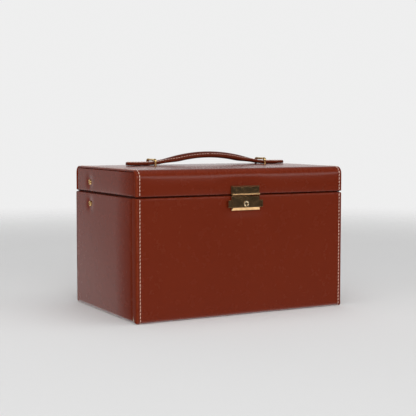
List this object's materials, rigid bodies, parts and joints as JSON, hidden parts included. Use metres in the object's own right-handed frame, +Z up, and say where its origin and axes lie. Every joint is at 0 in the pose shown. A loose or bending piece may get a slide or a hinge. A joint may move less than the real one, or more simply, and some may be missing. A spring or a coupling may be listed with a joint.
{
  "type": "leather jewellery case",
  "caption": "Leather-covered jewellery case with hinged padded lid, hasp lock, sliding strap handle, mirror and a tray that rises with the lid.",
  "frame": {"origin": "middle of the underside, on the surface that the case stands on", "axes": "+X to the right seen from the lock, +Y to the back with the hinge, +Z up"},
  "size_m": [0.2626, 0.1801, 0.1785],
  "materials": {
    "leather": "smooth semi-gloss red-brown leather",
    "side_leather": "smooth semi-gloss red-brown leather",
    "strap_leather": "smooth red-brown leather",
    "trim_leather": "smooth dark red-brown leather",
    "base_cloth": "short felt",
    "board": "plain board",
    "foam": "soft wadding",
    "lining": "velvet lining",
    "pillow_cloth": "velvet",
    "brass": "polished, slightly aged",
    "dark_brass": "polished, aged dark",
    "steel": "nickel-plated",
    "mirror": "silvered glass"
  },
  "bodies": {
    "case_body": {"base_cover": "base_cloth", "base_board": "board", "front_board": "board", "front_padding": "foam", "back_board": "board", "left_board": "board", "right_board": "board", "front_leather": "leather", "back_leather": "leather", "left_panel": "side_leather", "right_panel": "side_leather", "rim_binding": "trim_leather", "body_lining": "lining", "floor_pad": "lining", "rear_divider": "lining", "well_dividers": "lining", "pillow_shelf": "lining", "pillows": "pillow_cloth", "body_hinge_leaf": "brass", "hinge_pin": "brass", "lock_back_plate": "dark_brass", "lock_cover": "dark_brass", "key_escutcheon": "brass", "key_post": "dark_brass", "lock_spring": "steel", "lock_nails": "brass", "arm_rivets": "brass"},
    "lid": {"lid_top_board": "board", "lid_front_board": "board", "lid_back_board": "board", "lid_side_boards": "board", "lid_padding": "foam", "lid_leather": "leather", "lid_left_panel": "side_leather", "lid_right_panel": "side_leather", "lid_rim_binding": "trim_leather", "lid_lining": "lining", "mirror_backing": "lining", "mirror_glass": "mirror", "mirror_frame": "trim_leather", "lid_hinge_leaf": "brass", "hasp_plate": "dark_brass", "hasp_tongue": "dark_brass", "bracket_rivets": "brass", "left_loop": "brass", "right_loop": "brass", "loop_plates": "brass"},
    "tray": {"tray_floor": "lining", "tray_walls": "trim_leather", "tray_dividers": "lining", "ring_rolls": "pillow_cloth", "left_bracket": "steel", "right_bracket": "steel", "arm_pins": "brass"},
    "left_arm": {"left_arm": "steel"},
    "right_arm": {"right_arm": "steel"},
    "slide_bar": {"slide_bar": "dark_brass"},
    "grip": {"grip": "strap_leather"},
    "left_strap_end": {"left_strap_end": "strap_leather"},
    "right_strap_end": {"right_strap_end": "strap_leather"}
  },
  "joints": [
    {"name": "lid_hinge", "type": "hinge", "parent": "case_body", "child": "lid", "pos_m": [0, 0.08825, 0.1325], "axis": [-1, 0, 0], "range_deg": [0, 92]},
    {"name": "tray_pivot", "type": "hinge", "parent": "lid", "child": "tray", "pos_m": [0, 0.0425, 0.144], "axis": [1, 0, 0], "range_deg": [0, 92]},
    {"name": "left_arm_pivot", "type": "hinge", "parent": "case_body", "child": "left_arm", "pos_m": [-0.118, 0.0425, 0.1194], "axis": [-1, 0, 0], "range_deg": [0, 92]},
    {"name": "right_arm_pivot", "type": "hinge", "parent": "case_body", "child": "right_arm", "pos_m": [0.118, 0.0425, 0.1194], "axis": [-1, 0, 0], "range_deg": [0, 92]},
    {"name": "lock_slide", "type": "slide", "parent": "case_body", "child": "slide_bar", "axis": [1, 0, 0], "range_m": [0, 0.0022], "stiffness_N_per_m": 500, "springref_m": -0.001, "deforming": ["lock_spring"]},
    {"name": "handle_rise", "type": "slide", "parent": "lid", "child": "grip", "axis": [0, 0, 1], "range_m": [0, 0.022]},
    {"name": "left_strap_slide", "type": "slide", "parent": "grip", "child": "left_strap_end", "axis": [0.3786, 0, -0.9255], "range_m": [0, 0.0238]},
    {"name": "right_strap_slide", "type": "slide", "parent": "grip", "child": "right_strap_end", "axis": [-0.3786, 0, -0.9255], "range_m": [0, 0.0238]}
  ],
  "couplings": [
    {"joint": "tray_pivot", "follows": "lid_hinge", "ratio": 1},
    {"joint": "left_arm_pivot", "follows": "lid_hinge", "ratio": 1},
    {"joint": "right_arm_pivot", "follows": "lid_hinge", "ratio": 1},
    {"joint": "left_strap_slide", "follows": "handle_rise", "ratio": 1.0804},
    {"joint": "right_strap_slide", "follows": "handle_rise", "ratio": 1.0804}
  ]
}
